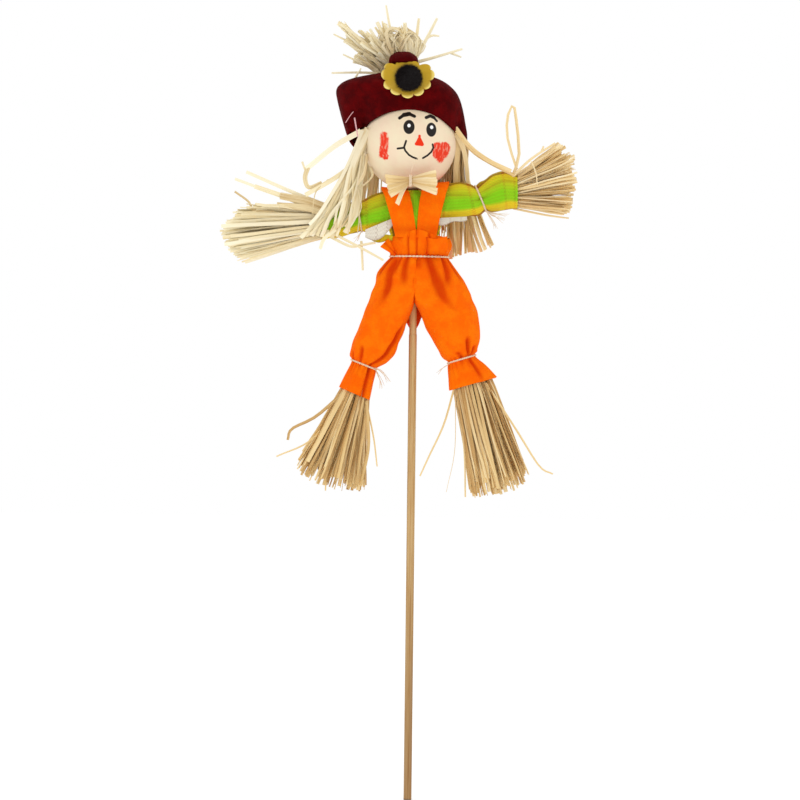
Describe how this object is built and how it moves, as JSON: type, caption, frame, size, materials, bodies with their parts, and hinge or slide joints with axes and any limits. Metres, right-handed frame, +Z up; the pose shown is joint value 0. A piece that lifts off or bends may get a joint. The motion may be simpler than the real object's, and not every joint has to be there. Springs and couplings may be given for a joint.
{
  "type": "scarecrow figure",
  "caption": "small scarecrow on a wooden stick: ball head with felt hat, raffia hair, hands and feet, plaid shirt and tied dungarees; head, arms and legs move",
  "frame": {"origin": "centre of the stick's bottom end", "axes": "+Z up along the stick, the figure looks along -Y, +X is the figure's own left"},
  "size_m": [0.2257, 0.074, 0.499],
  "materials": {
    "wood": "plain pale wooden dowel, slightly darker towards the bottom",
    "straw": "dry natural raffia strands, matt, cream to tan",
    "string": "thin natural cotton string",
    "plaid_cloth": "woven green, yellow and brown plaid cotton",
    "orange_felt": "bright orange felt",
    "foam": "white craft foam",
    "face_cloth": "cream stretched cloth with painted features",
    "maroon_felt": "deep maroon felt",
    "yellow_felt": "golden yellow felt with paler edges",
    "black_pompom": "near-black fuzzy pompom"
  },
  "bodies": {
    "root": {"stick": "wood", "trunk_raffia": "straw", "neck_tie": "string", "shirt_body": "plaid_cloth", "strap_left": "orange_felt", "strap_right": "orange_felt", "bow_tie": "straw", "bow_thread": "string", "trouser_seat": "orange_felt", "waist_frill": "orange_felt", "waist_tie": "string"},
    "head": {"head_core": "foam", "head_cover": "face_cloth", "hat": "maroon_felt", "hat_tie": "string", "sunflower_petals": "yellow_felt", "pompom": "black_pompom", "hair_left": "straw", "hair_right": "straw", "hair_tuft": "straw"},
    "arm_left": {"arm_raffia_left": "straw", "sleeve_left": "plaid_cloth", "wrist_tie_left": "string"},
    "arm_right": {"arm_raffia_right": "straw", "sleeve_right": "plaid_cloth", "wrist_tie_right": "string"},
    "leg_left": {"leg_raffia_left": "straw", "trouser_leg_left": "orange_felt", "ankle_tie_left": "string"},
    "leg_right": {"leg_raffia_right": "straw", "trouser_leg_right": "orange_felt", "ankle_tie_right": "string"}
  },
  "joints": [
    {"name": "head_turn", "type": "hinge", "parent": "root", "child": "head", "pos_m": [0, 0, 0], "axis": [0, 0, 1], "range_deg": [-40, 40]},
    {"name": "arm_left_swing", "type": "hinge", "parent": "root", "child": "arm_left", "pos_m": [0.022, 0, 0.37649], "axis": [0, -1, 0], "range_deg": [-40, 20]},
    {"name": "arm_right_swing", "type": "hinge", "parent": "root", "child": "arm_right", "pos_m": [-0.022, 0, 0.36991], "axis": [0, 1, 0], "range_deg": [-40, 20]},
    {"name": "leg_left_swing", "type": "hinge", "parent": "root", "child": "leg_left", "pos_m": [0.015, 0, 0.32], "axis": [1, 0, 0], "range_deg": [-30, 30]},
    {"name": "leg_right_swing", "type": "hinge", "parent": "root", "child": "leg_right", "pos_m": [-0.014, 0, 0.32], "axis": [1, 0, 0], "range_deg": [-30, 30]}
  ]
}
